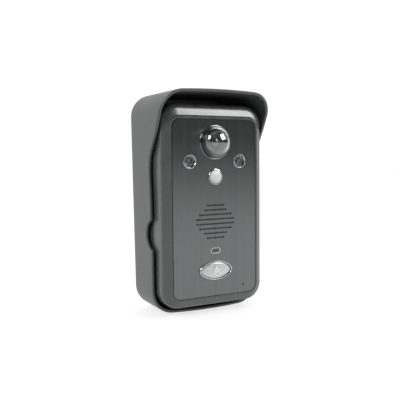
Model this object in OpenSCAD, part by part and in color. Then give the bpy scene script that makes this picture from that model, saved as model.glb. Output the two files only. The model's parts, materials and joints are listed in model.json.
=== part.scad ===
// Surface-mounted wireless door intercom panel in a rain hood.
// Frame: millimetres, +Z up, +X right, the front faces -Y, the wall is the plane Y = 0.
// Depths are counted backwards from the front face of the faceplate.

/* [Faceplate] */
// Width of the faceplate
plate_w = 61.5; // [56:0.5:74]
// Height of the faceplate
plate_h = 114; // [110:1:137]
// Thickness of the faceplate
plate_t = 1.2; // [0.8:0.1:1.4]
// Corner radius of the faceplate
plate_r = 5; // [3:0.5:8]

/* [Casing] */
// Width of the flat frame round the faceplate
frame_w = 1.5; // [1:0.1:2.5]
// Width of the sloped border outside the frame
border_w = 4.9; // [4:0.1:7]
// Extra height of the rounded brow above the faceplate
brow_h = 3.4; // [1:0.1:6]
// Casing wall
wall = 2; // [1.6:0.1:2.4]
// Depth of the camera unit from faceplate to back
unit_d = 39.6; // [39:0.2:48]
// Depth at which the front and rear shells part above the finger notches
part_d = 15.5; // [14.5:0.1:17]
// How far the parting line steps forward below the finger notches
part_step = 3.3; // [0:0.1:4]

/* [Rain hood] */
// Space between the casing and the hood wall at the sides
hood_gap = 1.15; // [0.8:0.05:3]
// Hood wall
hood_wall = 2; // [1.6:0.1:3]
// How far the visor reaches in front of the faceplate
visor = 7.2; // [2:0.1:14]
// Space behind the casing for screw heads and wires
service_gap = 2.9; // [2.4:0.1:8]
// Radius of the finger notches
notch_r = 9.9; // [7:0.1:12]

/* [Front parts] */
// Outer radius of the camera dome
dome_r = 10.2; // [8.5:0.1:11]
// Height of the camera dome's centre above the middle of the faceplate
dome_z = 42.6; // [40:0.2:43]
// Distance of each infrared lamp from the middle
lamp_x = 18.5; // [17.5:0.1:21]
// Height of the infrared lamps
lamp_z = 30.5; // [28:0.1:33]
// Radius of the motion sensor's ring
pir_r = 5.25; // [4.8:0.05:6]
// Height of the motion sensor
pir_z = 20.5; // [17:0.1:21]
// Height of the speaker's centre
speaker_z = -8.4; // [-10:0.1:-4]
// Radius of one speaker hole
hole_r = 0.65; // [0.35:0.05:0.75]
// Length of the call button's ring
button_w = 24.4; // [20:0.2:28]
// Height of the call button's ring
button_h = 12.9; // [11:0.1:14]
// Travel of the call button
button_travel = 0.8; // [0.4:0.1:1]
// Running clearance round moving parts
play = 0.25; // [0.2:0.05:0.35]

/* [Hidden] */
$fn = 64;
eps = 0.01;

// Casing outline, from the faceplate outwards
plate_gap = 0.15;
frame_x = plate_w / 2 + frame_w;
frame_top = plate_h / 2 + frame_w + 0.6;
frame_bot = -plate_h / 2 - frame_w;
case_x = frame_x + border_w;
case_top = frame_top + border_w + brow_h;
case_bot = frame_bot - border_w;
border_d = 3.5;
case_r = 11.5;
rear_inset = 0.6;
pocket_d = plate_t + 0.3;
inner_d = pocket_d + wall;
ledge_d = 8;
lip_t = 1.2;

// Rain hood
plate_y = -(unit_d + service_gap + 2.5);
hood_x = case_x + hood_gap + hood_wall;
hood_top = case_top + 8.6;
hood_bot = case_bot - 5.6;
hood_r = 15;
hood_back = 2.5;
hood_lean = 0.6;
side_d = 13.6;
slope_z = 27;
notch_z = -16.3;
notch_y = side_d - 2.6;

// Inside
board_d = 14;
board_t = 1.6;
bay_w = 39;
bay_top = 20;
bay_bot = -48;
bay_d = board_d + board_t + 2.8;
cell_r = 9.1;
wire_w = 28;
wire_h = 15;
pocket_z = 40;
pocket_w = 46;
pocket_h = 22;
floor_d = unit_d - 9.6;
service_d = floor_d - 7.6;
screw_x = 29;
screw_top = 57.5;
screw_bot = -55;
board_x = 27.5;
board_top = 45;
board_bot = -43;
speaker_pitch_x = 1.91;
speaker_pitch_z = 3.02;
speaker_rows = [7, 9, 13, 15, 15, 13, 9, 7];
button_z = -40.4;
status_z = -27.5;
mic_x = 21;
mic_z = -51.8;

plastic = "#3a3b3d";
dark = "#1c1c1e";
metal = "#c9cacb";
green = "#24583a";

// ---- helpers ----
// An outline drawn in X-Z, its front face `depth` behind the faceplate's face
module slab(depth, thick) {
    translate([0, plate_y + depth + thick, 0]) rotate([90, 0, 0]) linear_extrude(thick) children();
}
// A round bar along Y from depth `a` to depth `b`
module rod(x, z, a, b, r) {
    translate([x, plate_y + b, z]) rotate([90, 0, 0]) cylinder(h = b - a, r = r);
}
// A turned piece, profile as radius and height in front of `depth`
module turned(x, z, depth) {
    translate([x, plate_y + depth, z]) rotate([90, 0, 0]) rotate_extrude() children();
}
module ring(x, z, a, b, outer, inner) {
    difference() {
        rod(x, z, a, b, outer);
        rod(x, z, a - 1, b + 1, inner);
    }
}
// A rounded rectangle between two heights
module panel(half_w, low, high, r) {
    translate([-half_w + r, low]) square([2 * (half_w - r), high - low]);
    translate([-half_w, low + r]) square([2 * half_w, high - low - 2 * r]);
    for (x = [-half_w + r, half_w - r], z = [low + r, high - r]) translate([x, z]) circle(r);
}
module block(x, z, w, h) {
    translate([x - w / 2, z - h / 2]) square([w, h]);
}
// A bar with round ends
module stadium(z, w, h) {
    translate([-(w - h) / 2, z - h / 2]) square([w - h, h]);
    for (s = [-1, 1]) translate([s * (w - h) / 2, z]) circle(h / 2);
}
// Four-arc oval of the call button, grown by `g`
oval_end = 4;
oval_c = button_w / 2 - oval_end;
oval_e = button_h / 2 - oval_end;
oval_d = (oval_c * oval_c - oval_e * oval_e) / (2 * oval_e);
oval_side = button_h / 2 + oval_d;
module oval(g) {
    touch = oval_c + (oval_end + g) * oval_c / sqrt(oval_c * oval_c + oval_d * oval_d);
    translate([0, button_z]) {
        for (s = [-1, 1]) translate([s * oval_c, 0]) circle(oval_end + g);
        intersection() {
            translate([0, oval_d]) circle(oval_side + g, $fn = 128);
            translate([0, -oval_d]) circle(oval_side + g, $fn = 128);
            translate([-touch, -button_h]) square([2 * touch, 2 * button_h]);
        }
    }
}
// The bell pictogram
module bell() {
    translate([0, button_z]) {
        translate([0, 1.1]) circle(1.9);
        polygon([[-1.9, 1.1], [1.9, 1.1], [2.1, -1.2], [2.9, -2.4], [-2.9, -2.4], [-2.1, -1.2]]);
        translate([0, 3.2]) circle(0.55);
        translate([0, -3.1]) circle(0.8);
    }
}
// Points of an arc
function arc(cx, cy, r, from, to, n = 12) = [for (i = [0:n]) let (a = from + (to - from) * i / n)
    [cx + r * cos(a), cy + r * sin(a)]];
module speaker_holes(a, b) {
    for (row = [0:len(speaker_rows) - 1], i = [0:speaker_rows[row] - 1])
        rod((i - (speaker_rows[row] - 1) / 2) * speaker_pitch_x,
            speaker_z + (3.5 - row) * speaker_pitch_z, a, b, hole_r);
}
module at_case_screws() {
    for (x = [-screw_x, screw_x], z = [screw_bot, screw_top]) translate([x, 0, z]) children();
}
module at_board_screws() {
    for (x = [-board_x, board_x], z = [board_bot, board_top]) translate([x, 0, z]) children();
}

// ---- rain hood ----
// The hood narrows a little towards the bottom; `inset` moves every face inwards
module hood_form(inset, front, back) difference() {
    slab(front, back - front) panel(hood_x - inset, hood_bot + inset, hood_top - inset, hood_r - inset);
    for (s = [-1, 1])
        translate([s * (hood_x - inset), plate_y - 40, hood_top - hood_r]) rotate([0, s * hood_lean, 0])
            translate([s > 0 ? 0 : -20, 0, -300]) cube([20, 160, 300]);
}
// The space in front of the hood's rim, in depth (x) and height (y)
module rim_outline() {
    lean = atan2(side_d + visor, hood_top - slope_z);
    polygon(concat([[-40, hood_bot - 5], [side_d - 0.8, hood_bot - 5]],
        [[side_d - 0.8, notch_z - 14]],
        arc(side_d + 2.2, notch_z - 11.6, 3, 180, 120, 5),
        arc(notch_y, notch_z, notch_r, -48, 48, 20),
        arc(side_d + 3, notch_z + 11.4, 3, -120, -180, 5),
        arc(side_d - 20, slope_z - 20 * tan(lean / 2), 20, 0, lean, 8),
        [[-visor, hood_top], [-visor - 0.3, hood_top + 10], [-40, hood_top + 10]]));
}
module rain_hood() color(plastic) {
    difference() {
        union() {
            difference() {
                hood_form(0, -visor, -plate_y);
                hood_form(hood_wall, -visor - 5, -plate_y - hood_back);
                translate([-60, plate_y, 0]) rotate([90, 0, 90]) linear_extrude(120) rim_outline();
            }
            // pads that carry the casing, and the tab that hooks its top
            for (x = [-14, 14], z = [-52, 56]) rod(x, z, unit_d, -plate_y - 1, 3);
            translate([-5, plate_y + unit_d - 1.4, 60]) cube([10, service_gap + 2, 2]);
            translate([0, plate_y + 28, hood_bot + 0.5]) cylinder(h = -hood_bot + case_bot - 1, r = 5);
        }
        // four wall screws, the wire opening and two drain holes
        for (x = [-24, 24], z = [-45, 45]) rod(x, z, -plate_y - 8, -plate_y + 1, 2.25);
        slab(-plate_y - 6, 7) translate([0, pocket_z]) panel(wire_w / 2, -wire_h / 2, wire_h / 2, 3);
        for (x = [-22, 22]) translate([x, plate_y + 36, hood_bot - 2]) cylinder(h = 6, r = 2);
        translate([0, plate_y + 28, hood_bot - 2]) cylinder(h = 12, r = 1.7);
        translate([0, plate_y + 28, hood_bot - 2]) cylinder(h = 4, r = 3.2);
    }
}
module lock_screw() color(metal) translate([0, plate_y + 28, hood_bot]) difference() {
    union() {
        translate([0, 0, 0.1]) cylinder(h = 1.9, r = 2.8);
        cylinder(h = case_bot + 5 - hood_bot, r = 1.45);
    }
    translate([0, 0, -1]) cylinder(h = 2.2, r = 1.3, $fn = 6);
}

// ---- casing ----
module case_form(front, back) {
    hull() for (level = [[0, -border_w, 6.5, 0], [border_d, 0, case_r, -brow_h + 0.9],
            [6.5, 0, case_r, -1.1], [10, 0, case_r, 0], [back, 0, case_r, 0]]) {
        r = level[2];
        x = case_x + level[1];
        low = case_bot - level[1];
        high = case_top + level[3] + (level[0] == 0 ? -border_w - brow_h : 0);
        for (s = [-1, 1], z = [low + r, high - r]) translate([s * (x - r), plate_y + level[0], z])
            rotate([-90, 0, 0]) cylinder(h = eps, r = r, $fn = 48);
    }
}
// Everything behind the parting line, in depth (x) and height (y)
module behind_parting(shift) {
    low_d = part_d - part_step;
    polygon(concat([[60, case_top + 5], [part_d + shift, case_top + 5]],
        arc(part_d + shift - 2.5, notch_z - 5.5, 2.5, 0, -42, 5),
        arc(low_d + shift + 2.5, notch_z - 10.5, 2.5, 138, 180, 5),
        [[low_d + shift, case_bot - 5], [60, case_bot - 5]]));
}
module cut_behind_parting(shift) {
    translate([-60, plate_y, 0]) rotate([90, 0, 90]) linear_extrude(120) behind_parting(shift);
}
module front_shell() color(plastic) difference() {
    union() {
        difference() {
            case_form(0, part_d + 0.5);
            slab(inner_d, ledge_d - inner_d + eps)
                panel(case_x - wall - lip_t - 0.2, case_bot + wall + lip_t + 0.2,
                    case_top - wall - lip_t - 0.2, case_r - wall - lip_t);
            slab(ledge_d, 12) panel(case_x - wall, case_bot + wall, case_top - wall, case_r - wall);
            cut_behind_parting(0);
        }
        at_case_screws() rod(0, 0, inner_d - 0.5, part_d, 3.2);
        at_board_screws() rod(0, 0, inner_d - 0.5, board_d, 3);
        for (s = [-1, 1]) rod(s * 14.8, dome_z, inner_d - 0.5, inner_d + 2, 2);
        // well round the call button
        slab(inner_d - 0.5, 2.9) oval(1.6);
    }
    slab(-1, 1 + pocket_d) panel(plate_w / 2 + plate_gap, -plate_h / 2 - plate_gap,
        plate_h / 2 + plate_gap, plate_r + plate_gap);
    rod(0, dome_z, 0, 8, dome_r + 0.2);
    for (s = [-1, 1]) {
        rod(s * lamp_x, lamp_z, 0, 8, 3.1);
        rod(s * 14.8, dome_z, pocket_d + 0.8, 8, 0.85);
    }
    rod(0, pir_z, 0, 8, pir_r - 0.6);
    rod(0, speaker_z, 0, 8, 15);
    slab(0, 8) stadium(status_z, 7.3, 3.9);
    slab(0, inner_d + eps) oval(-1.3 + play);
    slab(inner_d, 8) oval(0.4);
    rod(mic_x, mic_z, 0, 8, 0.8);
    at_case_screws() rod(0, 0, 8, part_d + 1, 1.3);
    at_board_screws() rod(0, 0, 7, board_d + 1, 1.2);
}
module rear_shell() color(plastic) {
    x = case_x - rear_inset;
    low = case_bot + rear_inset;
    high = case_top - rear_inset;
    r = case_r - rear_inset;
    tongue = wall + 0.2;
    difference() {
        union() {
            difference() {
                // outer walls behind the parting line, with a tongue that enters the front shell
                union() {
                    intersection() {
                        slab(8, unit_d - 8) panel(x, low, high, r);
                        cut_behind_parting(0.35);
                    }
                    slab(ledge_d + 1, part_d - ledge_d + 1) panel(case_x - tongue, case_bot + tongue,
                        case_top - tongue, case_r - tongue);
                }
                slab(0, unit_d - wall) panel(case_x - tongue - lip_t, case_bot + tongue + lip_t,
                    case_top - tongue - lip_t, case_r - tongue - lip_t);
            }
            // battery bay, service pocket and screw columns
            slab(bay_d, unit_d - bay_d) panel(bay_w / 2 + 1.6, bay_bot - 1.6, bay_top + 1.6, 2);
            slab(floor_d - 1.6, unit_d - floor_d + 1.6) block(0, pocket_z, pocket_w + 3.2, pocket_h + 3.2);
            at_case_screws() rod(0, 0, part_d + 0.3, unit_d, 3.4);
            for (s = [-1, 1]) rod(s * 21, pocket_z + 8.2, service_d + board_t, floor_d, 2);
            // boss for the lock screw
            translate([0, plate_y + 28, low]) cylinder(h = 7, r = 3.4);
        }
        slab(bay_d + 1.4, unit_d) panel(bay_w / 2, bay_bot, bay_top, 2);
        slab(unit_d - 1.6, 5) panel(bay_w / 2 + 1, bay_bot - 5, bay_top + 5, 3);
        for (z = [bay_bot - 3, bay_top + 3]) rod(0, z, unit_d - 9, unit_d, 1.05);
        slab(floor_d, unit_d) block(0, pocket_z, pocket_w, pocket_h);
        at_case_screws() {
            rod(0, 0, part_d - 1, unit_d + 1, 1.7);
            rod(0, 0, unit_d - 12, unit_d + 1, 2.9);
        }
        for (s = [-1, 1]) rod(s * 21, pocket_z + 8.2, service_d, floor_d - 0.8, 0.95);
        // openings in the pocket floor
        slab(floor_d - 3, 4) block(-7, pocket_z, 23, 9);
        rod(11, pocket_z, floor_d - 3, floor_d + 1, 2.5 + play);
        slab(floor_d - 3, 4) block(18, pocket_z + 1, 2.4 + 2 * play, 6.6);
        translate([0, plate_y + 28, low - 1]) cylinder(h = 9, r = 1.5);
        // slot for the hood's tab
        translate([-5.3, plate_y + unit_d - 1.8, 59.7]) cube([10.6, 4, 2.6]);
    }
}
module shell_gasket() color(dark) difference() {
    slab(ledge_d, 1) panel(case_x - wall - 0.2, case_bot + wall + 0.2, case_top - wall - 0.2,
        case_r - wall - 0.2);
    slab(ledge_d - 1, 3) panel(case_x - wall - lip_t - 0.2, case_bot + wall + lip_t + 0.2,
        case_top - wall - lip_t - 0.2, case_r - wall - lip_t);
}
module case_screws() color(metal) at_case_screws() difference() {
    union() {
        rod(0, 0, 11, unit_d - 12, 1.25);
        rod(0, 0, unit_d - 12, unit_d - 10, 2.7);
    }
    slab(unit_d - 11.2, 2) square([3, 0.7], center = true);
    slab(unit_d - 11.2, 2) square([0.7, 3], center = true);
}

// ---- faceplate ----
module plate_openings() {
    translate([0, dome_z]) circle(dome_r + 1.15);
    for (s = [-1, 1]) translate([s * lamp_x, lamp_z]) circle(4.8);
    translate([0, pir_z]) circle(pir_r + 0.1);
    stadium(status_z, 7.3, 3.9);
    oval(0.1);
    translate([mic_x, mic_z]) circle(0.6);
}
module faceplate() color("#4a4b4d") difference() {
    slab(0, plate_t) difference() {
        panel(plate_w / 2, -plate_h / 2, plate_h / 2, plate_r);
        plate_openings();
    }
    speaker_holes(-1, plate_t + 1);
}
module faceplate_adhesive() color("#d8d4c8") slab(plate_t, pocket_d - plate_t) difference() {
    panel(plate_w / 2 - 1, -plate_h / 2 + 1, plate_h / 2 - 1, plate_r - 1);
    plate_openings();
    translate([0, speaker_z]) circle(15.2);
}

// ---- camera ----
module dome_bezel() color(metal) turned(0, dome_z, pocket_d) difference() {
    translate([dome_r + 0.15, 0]) square([0.9, pocket_d + 0.5]);
    translate([dome_r + 1.35, pocket_d + 0.7]) circle(0.45);
}
module lens_dome() color("#dfe6ea", 0.4) turned(0, dome_z, inner_d + 1.9) difference() {
    union() {
        square([dome_r + 2.6, 1.3]);
        square([dome_r, inner_d + 1.9]);
        intersection() {
            translate([0, inner_d + 1.9]) circle(dome_r);
            square([dome_r + 1, 40]);
        }
    }
    translate([-1, -1]) square([dome_r - 0.4, inner_d + 2.9]);
    translate([0, inner_d + 1.9]) circle(dome_r - 1.4);
    translate([-40, -20]) square([40, 60]);
}
module dome_seal() color(dark) ring(0, dome_z, inner_d, inner_d + 0.6, dome_r + 2.6, dome_r + 0.3);
module camera_baffle() color(dark) ring(0, dome_z, 1.6, 2.4, dome_r - 1.6, 4.1);
module camera_barrel() color(dark) difference() {
    union() {
        rod(0, dome_z, -2.2, 1, 3.7);
        rod(0, dome_z, 1, 10.4, 3.9);
    }
    rod(0, dome_z, -3, -0.9, 2.7);
    rod(0, dome_z, -1, 12, 1.9);
}
module camera_lens() color("#20242c") intersection() {
    rod(0, dome_z, -3, -0.9, 2.65);
    translate([0, plate_y + 3.2, dome_z]) sphere(5.4);
}
module camera_holder() color(dark) difference() {
    union() {
        rod(0, dome_z, inner_d + 2, inner_d + 3.4, 12.8);
        slab(inner_d + 2, 1.4) block(0, dome_z, 34, 8);
        rod(0, dome_z, 2.4, board_d - 2.4, 5.4);
        slab(inner_d + 2, board_d - 4.4 - inner_d) block(0, dome_z, 15, 15);
    }
    rod(0, dome_z, 1, board_d, 3.95);
    slab(board_d - 3.5, 4) block(0, dome_z, 8.4, 8.4);
    for (s = [-1, 1]) rod(s * 14.8, dome_z, inner_d, 9, 1.1);
}
module camera_screws() color(metal) for (s = [-1, 1]) {
    rod(s * 14.8, dome_z, pocket_d + 1.2, inner_d + 3.4, 0.8);
    rod(s * 14.8, dome_z, inner_d + 3.4, inner_d + 4.6, 1.9);
}
module image_sensor() color("#2a2d30") slab(board_d - 3.3, 0.9) block(0, dome_z, 7.6, 7.6);
module camera_board() color(green) slab(board_d - 2.4, 1) block(0, dome_z, 17, 17);
module camera_flex() color("#b4772c") translate([-3, plate_y, dome_z]) rotate([90, 0, 90])
    linear_extrude(6) difference() {
        union() {
            translate([board_d - 1.4, -10.6]) square([0.2, 9]);
            translate([board_d - 0.7, -10.6]) circle(0.7);
        }
        translate([board_d - 0.7, -10.6]) circle(0.5);
        translate([board_d - 1.2, -10.6]) square([0.9, 3]);
    }

// ---- infrared lamps and motion sensor ----
module lamp_bezels() color(metal) for (s = [-1, 1]) turned(s * lamp_x, lamp_z, pocket_d) difference() {
    translate([3.65, 0]) square([1.05, pocket_d + 0.45]);
    translate([3.4, pocket_d + 0.6]) circle(0.75);
}
module lamp_windows() color("#e8eef2", 0.4) for (s = [-1, 1])
    rod(s * lamp_x, lamp_z, pocket_d - 0.9, pocket_d, 3.6);
module infrared_leds() color("#d9dde2", 0.6) for (s = [-1, 1]) {
    turned(s * lamp_x, lamp_z, 9) union() {
        square([2.9, 1]);
        square([2.5, 4.5]);
        intersection() {
            translate([0, 4.5]) circle(2.5);
            square([3, 9]);
        }
    }
    for (x = [-1.27, 1.27]) rod(s * lamp_x + x, lamp_z, 9, board_d, 0.28);
}
module pir_bezel() color(metal) turned(0, pir_z, pocket_d) difference() {
    translate([pir_r - 0.85, 0]) square([0.85, pocket_d + 0.8]);
    translate([pir_r - 0.9, pocket_d + 0.95]) circle(0.5);
}
module pir_lens() color("#f2f2ee") turned(0, pir_z, inner_d + 0.8) difference() {
    union() {
        square([pir_r + 0.6, 0.8]);
        square([pir_r - 0.95, inner_d + 0.9]);
        intersection() {
            translate([0, inner_d - 5.2]) circle(7.9);
            translate([0, inner_d]) square([pir_r - 0.95, 10]);
        }
    }
    translate([0, -1]) square([pir_r - 1.75, inner_d + 1.2]);
}
module pir_sensor() color("#bfc1c3") {
    rod(0, pir_z, 7, 10.6, 4.1);
    rod(0, pir_z, 10.2, 10.7, 4.5);
    for (a = [90, 210, 330]) rod(1.9 * cos(a), pir_z + 1.9 * sin(a), 10.6, board_d, 0.25);
}

// ---- speaker ----
module speaker_mesh() color("#2b2b2c") rod(0, speaker_z, inner_d, inner_d + 0.2, 16.6);
module speaker_gasket() color(dark) ring(0, speaker_z, inner_d + 0.2, inner_d + 1.2, 17, 14);
module speaker_frame() color("#8d8f92") turned(0, speaker_z, 12.4) difference() {
    polygon([[6.4, 0], [9.6, 0], [9.6, 3.4], [16, 6.2], [17, 6.2], [17, 12.4 - inner_d - 1.2],
        [14, 12.4 - inner_d - 1.2], [14, 6.9], [8.2, 4.3], [6.4, 4.3]]);
    translate([6.3, -1]) square([0.1, 3]);
}
module speaker_cone() color("#37302a") turned(0, speaker_z, 6.6) polygon([[0, 2], [1.6, 1.8], [2.8, 1.1],
    [4.4, 0.4], [6, 0.5], [11.2, 1.4], [12.3, 1.9], [13.4, 1.4], [13.9, 1.4], [13.9, 1.1], [13.3, 1.1],
    [12.3, 1.6], [11.4, 1.1], [6.1, 0.2], [6.1, -1.6], [5.7, -1.6], [5.7, 0.1], [4.4, 0.1], [2.7, 0.8],
    [1.5, 1.5], [0, 1.7]]);
module speaker_magnet() color("#5c5d60") difference() {
    union() {
        rod(0, speaker_z, 9.4, 12.8, 5.3);
        rod(0, speaker_z, 12.4, 13.6, 9.4);
    }
}

// ---- status light ----
module status_ring() color("#eef2f2") slab(-0.1, 12.7) difference() {
    stadium(status_z, 7.1, 3.7);
    stadium(status_z, 5.9, 2.5);
}
module status_window() color("#3a3f42") slab(0.1, 3.4) stadium(status_z, 5.8, 2.4);
module status_led() color("#f4f1d8") slab(board_d - 1.2, 1.2) block(0, status_z, 3.2, 1.6);

// ---- call button ----
module button_bezel() color(metal) slab(-0.9, pocket_d + 0.9) difference() {
    oval(0);
    oval(-1.1);
}
crown_r = 60;

module call_button() color("#b9babb") union() {
    difference() {
        intersection() {
            slab(-2, inner_d + 2) oval(-1.1 - play);
            translate([0, plate_y - 1.05 + crown_r, button_z]) sphere(crown_r, $fn = 160);
        }
        slab(-3, 2.4) bell();
    }
    slab(inner_d, 1) oval(0.1);
    rod(0, button_z, inner_d + 0.5, 9.4, 2);
}
module bell_inlay() color("#d8d9da") slab(-1.15, 0.55) bell();
module button_seal() color("#2c2c2e") difference() {
    slab(inner_d + 2.4, 1) oval(1.6);
    rod(0, button_z, 0, 12, 2 + play + 0.05);
}
module call_switch() color("#26272a") difference() {
    slab(board_d - 3.4, 3.4) block(0, button_z, 6, 6);
    rod(0, button_z, 8, board_d - 0.6, 1.7 + play);
}
module call_switch_plunger() color("#d9d2c0") rod(0, button_z, 9.4, board_d - 0.8 - button_travel, 1.7);

// ---- microphone ----
module microphone() color("#aeb0b2") rod(mic_x, mic_z, inner_d + 0.8, inner_d + 3.4, 2.5);
module microphone_boot() color(dark) difference() {
    rod(mic_x, mic_z, inner_d, inner_d + 3.8, 3.5);
    rod(mic_x, mic_z, inner_d + 0.8, inner_d + 5, 2.5);
    rod(mic_x, mic_z, inner_d - 1, inner_d + 5, 0.8);
}

// ---- electronics ----
module main_board() color(green) difference() {
    slab(board_d, board_t) block(0, 0, 64, 102);
    at_board_screws() rod(0, 0, 0, 20, 1.4);
}
module board_chips() color("#1d1e20") {
    slab(board_d + board_t, 1.4) block(-10, 2, 14, 14);
    slab(board_d + board_t, 1.1) block(12, 8, 10, 6);
    slab(board_d + board_t, 1.1) block(14, -10, 8, 8);
    slab(board_d + board_t, 1.3) block(-16, -22, 7, 5);
    slab(board_d + board_t, 1.8) block(8, -30, 6, 6);
}
module radio_shield() color("#c3c5c7") slab(board_d + board_t, 2.2) block(-12, 34, 20, 16);
module antenna() color("#b08d3a") {
    slab(board_d + board_t, 0.8) block(16, 38, 3, 20);
}
module board_screws() color(metal) {
    at_board_screws() {
        rod(0, 0, 8.5, board_d + board_t, 1.15);
        rod(0, 0, board_d + board_t, board_d + board_t + 1.5, 2.3);
    }
    for (s = [-1, 1]) translate([s * 21, 0, pocket_z + 8.2]) {
        rod(0, 0, service_d, floor_d - 1.2, 0.9);
        rod(0, 0, service_d - 1.4, service_d, 2);
    }
}

// ---- power and service side ----
module battery_pack() color("#2f4f86") slab(bay_d + 1.5, 2 * cell_r) block(0, (bay_top + bay_bot) / 2, 4 * cell_r, 65);
module battery_plug() color("#e6e2d6") slab(board_d + board_t, 2.4) block(-22, -18, 5, 8);
module battery_cover() color(plastic) difference() {
    slab(unit_d - 1.5, 1.5) panel(bay_w / 2 + 0.8, bay_bot - 4.8, bay_top + 4.8, 3);
    for (z = [bay_bot - 3, bay_top + 3]) rod(0, z, unit_d - 9, unit_d + 1, 1.25);
}
module battery_cover_screws() color(metal) for (z = [bay_bot - 3, bay_top + 3]) {
    rod(0, z, unit_d - 7, unit_d, 1);
    rod(0, z, unit_d, unit_d + 1.2, 2);
}
module service_board() color(green) difference() {
    slab(service_d, board_t) block(0, pocket_z, 48, 22);
    for (s = [-1, 1]) rod(s * 21, pocket_z + 8.2, 0, unit_d, 1.1);
}
module terminal_block() color("#2f7d4a") difference() {
    slab(service_d + board_t, 12.2) block(-7, pocket_z, 22, 8);
    for (i = [0:3]) {
        rod(-7 + (i - 1.5) * 5.08, pocket_z, floor_d + 3.5, unit_d, 1.7);
        translate([-7 + (i - 1.5) * 5.08 - 1.5, plate_y + floor_d + 1.8, pocket_z - 5]) cube([3, 2.2, 4]);
    }
}
module terminal_screws() color(metal) for (i = [0:3])
    rod(-7 + (i - 1.5) * 5.08, pocket_z, floor_d + 3.5, floor_d + 5.6, 1.6);
module pair_switch() color("#26272a") difference() {
    slab(service_d + board_t, 2.6) block(11, pocket_z, 6, 6);
    rod(11, pocket_z, service_d + board_t + 1, floor_d, 1.5 + play);
}
module pair_button() color("#a83232") {
    rod(11, pocket_z, floor_d - 2, floor_d + 1.2, 2.5);
    rod(11, pocket_z, floor_d - 2.5, floor_d - 1.6, 3.3);
    rod(11, pocket_z, service_d + board_t + 1.6, floor_d - 2, 1.5);
}
module power_switch() color("#26272a") difference() {
    slab(service_d + board_t, 3.2) block(18, pocket_z + 1, 5, 10);
    slab(service_d + board_t + 1, 4) block(18, pocket_z + 1, 2.4 + 2 * play, 6.6);
}
module power_slider() color("#d0d0d0")
    slab(service_d + board_t + 1.3, floor_d - service_d - board_t + 0.2) block(18, pocket_z, 2.4, 2.4);

rain_hood();
lock_screw();
front_shell();
rear_shell();
shell_gasket();
case_screws();
faceplate();
faceplate_adhesive();
dome_bezel();
lens_dome();
dome_seal();
camera_baffle();
camera_barrel();
camera_lens();
camera_holder();
camera_screws();
image_sensor();
camera_board();
camera_flex();
lamp_bezels();
lamp_windows();
infrared_leds();
pir_bezel();
pir_lens();
pir_sensor();
speaker_mesh();
speaker_gasket();
speaker_frame();
speaker_cone();
speaker_magnet();
status_ring();
status_window();
status_led();
button_bezel();
call_button();
bell_inlay();
button_seal();
call_switch();
call_switch_plunger();
microphone();
microphone_boot();
main_board();
board_chips();
radio_shield();
antenna();
board_screws();
battery_pack();
battery_plug();
battery_cover();
battery_cover_screws();
service_board();
terminal_block();
terminal_screws();
pair_switch();
pair_button();
power_switch();
power_slider();
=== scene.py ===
# %% [markdown]
# # A door intercom panel in its rain hood
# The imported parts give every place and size. This notebook gives them their looks: the moulded shells,
# the brushed faceplate, the bright rings and the clear dome. Each step first says what the real piece
# is, how it could be made and why one way was chosen.

# %% Load the fixed frame
import json
import math

import bpy
from mathutils import Matrix, Vector


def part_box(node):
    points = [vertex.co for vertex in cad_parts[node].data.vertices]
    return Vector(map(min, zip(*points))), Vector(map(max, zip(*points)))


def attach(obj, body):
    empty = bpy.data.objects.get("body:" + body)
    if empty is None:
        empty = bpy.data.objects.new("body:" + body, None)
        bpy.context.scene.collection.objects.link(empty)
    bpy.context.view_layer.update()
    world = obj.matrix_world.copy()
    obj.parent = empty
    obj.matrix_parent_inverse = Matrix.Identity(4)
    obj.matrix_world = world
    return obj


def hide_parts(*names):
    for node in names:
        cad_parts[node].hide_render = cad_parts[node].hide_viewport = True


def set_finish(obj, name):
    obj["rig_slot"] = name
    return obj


MM = 0.001
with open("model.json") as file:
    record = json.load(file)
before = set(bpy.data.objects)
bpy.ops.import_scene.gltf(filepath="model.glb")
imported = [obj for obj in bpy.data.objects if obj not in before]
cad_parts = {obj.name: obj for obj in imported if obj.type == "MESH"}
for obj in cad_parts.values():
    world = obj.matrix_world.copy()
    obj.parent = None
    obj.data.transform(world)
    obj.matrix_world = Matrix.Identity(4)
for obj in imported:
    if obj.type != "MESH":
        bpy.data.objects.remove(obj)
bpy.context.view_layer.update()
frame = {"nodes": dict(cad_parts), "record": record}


def in_mm(point):
    """A point or a size in metres, as rounded millimetres to print."""
    return tuple(round(c / MM, 1) for c in point)


# %% [markdown]
# ## Places read from the frame
# Depths are counted backwards from the front face of the faceplate, as a designer of such a unit does,
# so one number says how far a detail sits behind or in front of the plate. The other places come from
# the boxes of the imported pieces.

# %% Main places, in millimetres
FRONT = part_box("faceplate")[0].y / MM
BACK = -FRONT


def span(node, axis):
    """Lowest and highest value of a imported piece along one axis."""
    low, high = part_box(node)
    return low[axis] / MM, high[axis] / MM


def middle(node, axis):
    """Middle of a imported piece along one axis."""
    low, high = span(node, axis)
    return (low + high) / 2


def size(node, axis):
    """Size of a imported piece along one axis."""
    low, high = span(node, axis)
    return high - low


PLATE_X, PLATE_TOP = span("faceplate", 0)[1], span("faceplate", 2)[1]
CASE_X = span("front_shell", 0)[1]
CASE_BOT, CASE_TOP = span("front_shell", 2)
HOOD_X = span("rain_hood", 0)[1]
HOOD_BOT, HOOD_TOP = span("rain_hood", 2)
VISOR = FRONT - span("rain_hood", 1)[0]
DOME_Z = middle("dome_bezel", 2)
LAMP_RING_R = 4.7
LAMP_X = size("lamp_bezels", 0) / 2 - LAMP_RING_R
LAMP_Z = middle("lamp_bezels", 2)
SENSOR_Z = middle("pir_bezel", 2)
STATUS_Z = middle("status_ring", 2)
BUTTON_Z = middle("button_bezel", 2)
print("plate front", round(FRONT, 2), "hood half width", round(HOOD_X, 2), "lamps at", round(LAMP_X, 2))

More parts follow.
